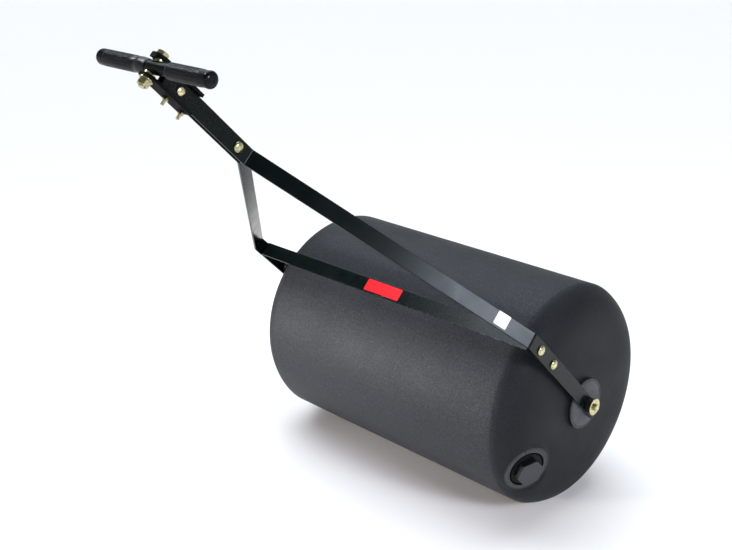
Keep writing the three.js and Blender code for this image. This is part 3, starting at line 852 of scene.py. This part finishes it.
def axle():
    """A rod bored at each end for its bolt."""
    place, length, radius = seat_of("axle_rod", LEFT)
    bore, depth, edge = AXLE_BOLT_BORE, 0.022, 0.001
    outline = [
        (0, depth), (bore, depth), (bore, 0), (radius - edge, 0), (radius, edge),
        (radius, length - edge), (radius - edge, length), (bore, length),
        (bore, length - depth), (0, length - depth),
    ]
    stands_for(new_piece("axle_rod_form", turned_mesh(outline, 48), place), "axle_rod")


def arm_bush(node, outward):
    """A flanged bush: its barrel goes through the arm, and its thick flange stands outside."""
    place, length, radius = seat_of(node, outward)
    barrel, flange = 0.013, 0.0094
    outline = filleted([
        (AXLE_BORE, 0), (barrel, 0), (barrel, length - flange), (radius, length - flange),
        (radius, length), (AXLE_BORE, length),
    ], 0.0009, closed=True)
    stands_for(new_piece(f"{node}_form", turned_mesh(outline, 72), place), node)


axle()
arm_bush("arm_bush_left", LEFT)
arm_bush("arm_bush_right", RIGHT)


# ---- Fill plug ----

def fill_plug():
    """A flanged plug: a hollow shank with a coarse thread below, a solid hexagon above."""
    place, length, _ = seat_of("fill_plug", PLUG_AXIS, UP_HANDLE)
    shank, wall, flange_radius, edge = 0.0255, 0.005, 0.034, 0.0008
    seat = length - 0.0199
    flange_top = seat + 0.0045
    pitch, depth = 0.004, 0.0012
    rim = filleted([
        (shank - wall, 0), (shank, 0.0), (shank, seat), (flange_radius, seat),
        (flange_radius, flange_top), (0, flange_top),
    ], edge)

    def radial(angle, radius, height):
        if abs(radius - shank) > 1e-9 or not 0.002 < height < seat - 0.001:
            return radius
        phase = (height / pitch - angle / (2 * math.pi)) % 1
        return radius - depth * max(0, abs(2 * phase - 1) * 2 - 1)
    rows = 30
    barrel = [(shank, 0.001 + (seat - 0.002) * i / rows) for i in range(rows + 1)]
    outline = [(0, seat), (shank - wall, seat), (shank - wall, 0), rim[1]] + barrel
    outline += [point for point in rim if point[1] >= seat - edge]
    plug = new_piece("fill_plug_form", turned_mesh(outline, 120, radial), place)
    corner = 0.025 / math.cos(math.pi / 6)
    angles = [math.radians(60 * i) for i in range(6)]
    hexagon = [(corner * math.cos(a), corner * math.sin(a)) for a in angles]
    rounded = filleted(hexagon, 0.003, closed=True, steps=5)
    head = new_piece("plug_head", prism_mesh(rounded, flange_top - 0.001, length), place)
    combined(plug, head, "UNION")
    bevelled(plug, 0.0007, angle=50)
    stands_for(plug, "fill_plug")


tube("plug_seal", PLUG_AXIS, SEAL_BORE, 0.0008, segments=96)
fill_plug()


# ---- Straps ----

STRAP = 0.004
STRAP_HALF_WIDTH = 0.015
BEND_RADIUS = 0.008
CREASE_LOWER = 0.2855  # the arms' bends, along the handle from the axle
CREASE_UPPER = 0.7505
STRAP_EDGE = 0.0006


def offset_path(corners, bend_steps=10):
    """The centre line through the corners with each bend rounded, as (point, normal)."""
    path = []
    for i, corner in enumerate(corners):
        here = Vector(corner)
        arrive = (here - Vector(corners[i - 1])).normalized() if i else None
        leave = (Vector(corners[i + 1]) - here).normalized() if i + 1 < len(corners) else None
        if arrive is None or leave is None:
            along = arrive or leave
            path.append((here, Vector((-along.y, along.x))))
            continue
        turn = math.atan2(arrive.x * leave.y - arrive.y * leave.x, arrive.dot(leave))
        side = math.copysign(1, turn)
        across = Vector((-arrive.y, arrive.x))
        setback = BEND_RADIUS * math.tan(abs(turn) / 2)
        centre = here - arrive * setback + across * side * BEND_RADIUS
        for k in range(bend_steps + 1):
            normal = across.copy()
            normal.rotate(Matrix.Rotation(turn * k / bend_steps, 2))
            path.append((centre - normal * side * BEND_RADIUS, normal))
    return path


def strap(node, corners):
    """A flat strap bent at its corners, with its width across the plane of the frame."""
    path = offset_path(corners)
    outline = [p + n * STRAP / 2 for p, n in path]
    outline += [p - n * STRAP / 2 for p, n in reversed(path)]
    bm = prism_mesh(outline, -STRAP_HALF_WIDTH, STRAP_HALF_WIDTH)
    obj = new_piece(f"{node}_form", bm, STRAPS)
    bevelled(obj, STRAP_EDGE)
    stands_for(obj, node)


def arm(node, side):
    """An arm on the left (-1) or the right (1), bent in from the drum's end to the tongue."""
    low, high = span(node, STRAPS)
    outer_line = max(abs(low.y), abs(high.y)) - STRAP / 2
    tongue_line = min(abs(low.y), abs(high.y)) + STRAP / 2
    strap(node, [
        (low.x, side * outer_line), (CREASE_LOWER, side * outer_line),
        (CREASE_UPPER, side * tongue_line), (high.x, side * tongue_line),
    ])


def crossbar():
    """A strap across the front of the drum, with a tab bent back at each end."""
    low, high = span("crossbar", STRAPS)
    tab = high.y - STRAP / 2
    front = high.x - STRAP / 2
    strap("crossbar", [(low.x, tab), (front, tab), (front, -tab), (low.x, -tab)])


arm("arm_left", -1)
arm("arm_right", 1)
crossbar()


# ---- Hitch plates ----

PLATE_SHOULDER = 0.986  # the rounded nose starts here
TAB = 0.004
TAB_HALF_WIDTH = 0.007


def hitch_plate(node, low_z, high_z):
    """A plate with barely cut rear corners and a rounded nose."""
    low, high = span(node, STRAPS)
    half, nose = high.y, high.x - PLATE_SHOULDER
    corner, steps = 0.0015, 32
    outline = [(low.x, -half + corner), (low.x + corner, -half)]
    for i in range(steps + 1):
        angle = math.radians(180 * i / steps - 90)
        outline.append((PLATE_SHOULDER + nose * math.cos(angle), half * math.sin(angle)))
    outline += [(low.x + corner, half), (low.x, half - corner)]
    return new_piece(f"{node}_form", prism_mesh(outline, low_z, high_z), STRAPS)


def hitch_plates():
    """The lower plate, and the upper one with its tab bent down at the front."""
    thickness = 0.005
    low, high = span("hitch_plate_lower", STRAPS)
    lower = hitch_plate("hitch_plate_lower", low.z, high.z)
    bevelled(lower, STRAP_EDGE)
    stands_for(lower, "hitch_plate_lower", "matte_black")
    low, high = span("hitch_plate_upper", STRAPS)
    upper = hitch_plate("hitch_plate_upper", high.z - thickness, high.z)
    half, front = TAB_HALF_WIDTH, high.x - 0.0002
    corners = [(front, half), (front, -half), (front - TAB, -half), (front - TAB, half)]
    outline = filleted(corners, 0.0008, closed=True)
    tab = new_piece("tab", prism_mesh(outline, low.z, high.z - 0.0004), STRAPS)
    combined(upper, tab, "UNION")
    bevelled(upper, STRAP_EDGE)
    stands_for(upper, "hitch_plate_upper", "matte_black")


hitch_plates()


# ---- T-handle, turned about the line across the handle ----

TUBE_BORE = 0.0092
GRIP_BORE = 0.0113
RIB_PITCH = 0.0018
RIB_DEPTH = 0.0005
RIB_COLUMNS = 16


def ribbed(low, high, radius):
    """Fine rings around a grip between two heights, broken by plain strips that run along it."""
    def radial(angle, r, height):
        if abs(r - radius) > 1e-6 or not low < height < high:
            return r
        strip = math.cos(RIB_COLUMNS * angle) > 0.80
        groove = math.cos(2 * math.pi * (height - low) / RIB_PITCH) > 0.1
        return r - RIB_DEPTH if groove and not strip else r
    return radial


def grip(node, outline, ribs):
    """A sleeve whose heights run to the right from its left end."""
    place, length, _ = seat_of(node, RIGHT, OUT)
    low, high, radius = ribs
    rows = round((high - low) / RIB_PITCH * 8)
    fine = [(radius, low + (high - low) * i / rows) for i in range(rows + 1)]
    before = [p for p in outline if p[1] <= low]
    after = [p for p in outline if p[1] >= high]
    loop = [(GRIP_BORE, 0)] + before + fine + after + [(GRIP_BORE, length)]
    bm = turned_mesh(loop, 144, ribbed(low, high, radius))
    stands_for(new_piece(f"{node}_form", bm, place, sharp=50), node)


def grips():
    """The left grip, with its collar towards the bolt, and the shorter right one."""
    radius, waist, collar, mouth = 0.0135, 0.0129, 0.0133, 0.0119
    left = [
        (radius - 0.0006, 0), (radius, 0.0006), (radius, 0.002), (radius, 0.0735),
        (radius, 0.0742), (waist, 0.075), (waist, 0.0860), (collar - 0.0003, 0.0865),
        (collar, 0.0872), (collar, 0.0935), (0.0128, 0.1010), (0.0123, 0.1060),
        (mouth, 0.1094), (mouth - 0.0004, 0.110),
    ]
    grip("grip_left", left, (0.0025, 0.073, radius))
    right = [
        (waist - 0.0008, 0), (waist, 0.0006), (radius - 0.0002, 0.0014), (radius, 0.0022),
        (radius, 0.003), (radius, 0.0755), (radius, 0.0762), (waist, 0.077), (waist, 0.0914),
        (waist - 0.0006, 0.092),
    ]
    grip("grip_right", right, (0.0035, 0.075, radius))


def end_cap(node, outward, rim):
    """A domed cap with a dished middle, upright up to its rim, and a stem in the tube."""
    place, top, radius = seat_of(node, outward)
    stem, seat, edge, dish = 0.0089, 0.012, 0.0005, 0.0012
    rise = top - seat - rim
    dome = [(radius * math.cos(a) ** 0.6, seat + rim + rise * math.sin(a))
            for a in quarter_turn(14)[:-1]]
    outline = [(0, 0), (stem - 0.001, 0), (stem, 0.001), (stem, seat), (radius - edge, seat)]
    outline += [(radius, seat + edge)] + dome
    outline += [(0.0040, top - 0.0003), (0.0034, top - 0.0010), (0.0010, top - dish)]
    outline += [(0, top - dish)]
    stands_for(new_piece(f"{node}_form", turned_mesh(outline, 72), place), node)


grips()
tube("handle_tube", RIGHT, TUBE_BORE, 0.0005, segments=72)
end_cap("end_cap_left", LEFT, 0.011)
end_cap("end_cap_right", RIGHT, 0.0015)


# ---- Labels ----

def label(node, place):
    """A thin plate with round corners that fills its node's box in the axes of a place."""
    low, high = span(node, place)
    corners = [(low.x, low.y), (high.x, low.y), (high.x, high.y), (low.x, high.y)]
    outline = filleted(corners, 0.002, closed=True)
    obj = new_piece(f"{node}_form", prism_mesh(outline, low.z, high.z), place)
    bevelled(obj, 0.00015, segments=2)
    stands_for(obj, node)


def labels():
    """The red label on the crossbar's front, and the white one on the right arm's slanted part."""
    low, high = span("arm_right", STRAPS)
    inward = (low.y + STRAP / 2) - (high.y - STRAP / 2)
    diagonal = STRAPS.to_3x3() @ Vector((CREASE_UPPER - CREASE_LOWER, inward, 0)).normalized()
    label("label_red", facing(AXLE, UP_HANDLE, OUT))
    label("label_white", facing(AXLE, diagonal.cross(OUT), OUT))


labels()


# ---- Floor, light and camera ----

def studio():
    """A pale floor that curves up into a wall all round, and a faint sky."""
    flat, cove, wall = 40, 10, 22
    bend = [(flat + cove * math.sin(a), cove * (1 - math.cos(a))) for a in quarter_turn(12)]
    profile = [(0, 0)] + bend + [(flat + cove, wall)]
    ground = new_piece("floor", swept_mesh(profile), sharp=180)
    ground.location.z = -0.2 * MM
    s = Shader("floor")
    s.set(Base_Color=colour(0.95, 0.88, 0.85), Roughness=0.9, Specular_IOR_Level=0.1)
    ground.data.materials.append(s.material)
    world = bpy.data.worlds.new("studio")
    bpy.context.scene.world = world
    world.use_nodes = True
    sky = world.node_tree.nodes["Background"].inputs
    sky["Color"].default_value = colour(0.90, 0.96, 1.0)
    sky["Strength"].default_value = 0.12


def aimed(name, data, at, direction):
    """A light or camera at a point, looking along a direction."""
    obj = linked(name, data)
    obj.location = at
    obj.rotation_euler = direction.to_track_quat("-Z", "Y").to_euler()
    return obj


def ceiling_light():
    """Broad, slightly cool light from overhead, which lights the floor evenly to its far edge."""
    light = bpy.data.lights.new("ceiling", "SUN")
    light.energy = 3.3
    light.angle = math.radians(70)
    light.color = (0.85, 0.97, 1.04)
    aimed("ceiling", light, Vector(), Vector((-0.3, -0.4, -1)))


def softbox(name, at, towards, size, power, tint=(1, 1, 1), spread=180):
    """A rectangular area light, whose beam spreads over an angle in degrees."""
    light = bpy.data.lights.new(name, "AREA")
    light.shape = "RECTANGLE"
    light.size, light.size_y = size
    light.energy = power
    light.color = tint
    light.spread = math.radians(spread)
    aimed(name, light, at, Vector(towards) - Vector(at))


def floor_pool(name, at, width, power):
    """A soft pool of light on the floor, for the straps beside it to reflect."""
    light = bpy.data.lights.new(name, "SPOT")
    light.energy = power
    light.spot_size = math.radians(width)
    light.spot_blend = 1.0
    light.shadow_soft_size = 0.3
    linked(name, light).location = at


def camera():
    """Looks down on the drum's right end, from the right of the handle."""
    azimuth, elevation = math.radians(-45.85), math.radians(21.15)
    distance, shift_right, shift_up = 2.3633, -0.16863, 0.15983
    focal_in_widths = 1.49185
    back = Vector((
        math.sin(azimuth) * math.cos(elevation),
        -math.cos(azimuth) * math.cos(elevation),
        math.sin(elevation),
    ))
    right = Vector((math.cos(azimuth), math.sin(azimuth), 0))
    up = back.cross(right)
    data = bpy.data.cameras.new("camera")
    data.sensor_width = 36
    data.lens = focal_in_widths * data.sensor_width
    at = AXLE + back * distance + right * shift_right + up * shift_up
    bpy.context.scene.camera = aimed("camera", data, at, -back)


COOL = (0.86, 0.95, 1.10)

studio()
ceiling_light()
softbox("key", (-2.6, 1.6, 0.34), (-0.2, 0.08, 0.20), (0.9, 0.4), 4.3, spread=26)
softbox("handle", (-1.05, 1.30, 2.40), (-0.7, 0, 0.93), (0.4, 0.3), 0.4, spread=24)
softbox("side", (-0.37, -2.62, 1.51), (-0.2, -0.36, 0.43), (0.5, 0.60), 46, COOL)
softbox("top", (-1.25, 1.0, 2.30), (-0.19, -0.3, 0.42), (0.4, 0.3), 9, COOL)
floor_pool("pool_left", (0.50, 0.80, 1.7), 30, 150)
floor_pool("pool_right", (0.48, -0.98, 1.7), 26, 180)
camera()
bpy.context.scene.view_settings.view_transform = "Standard"
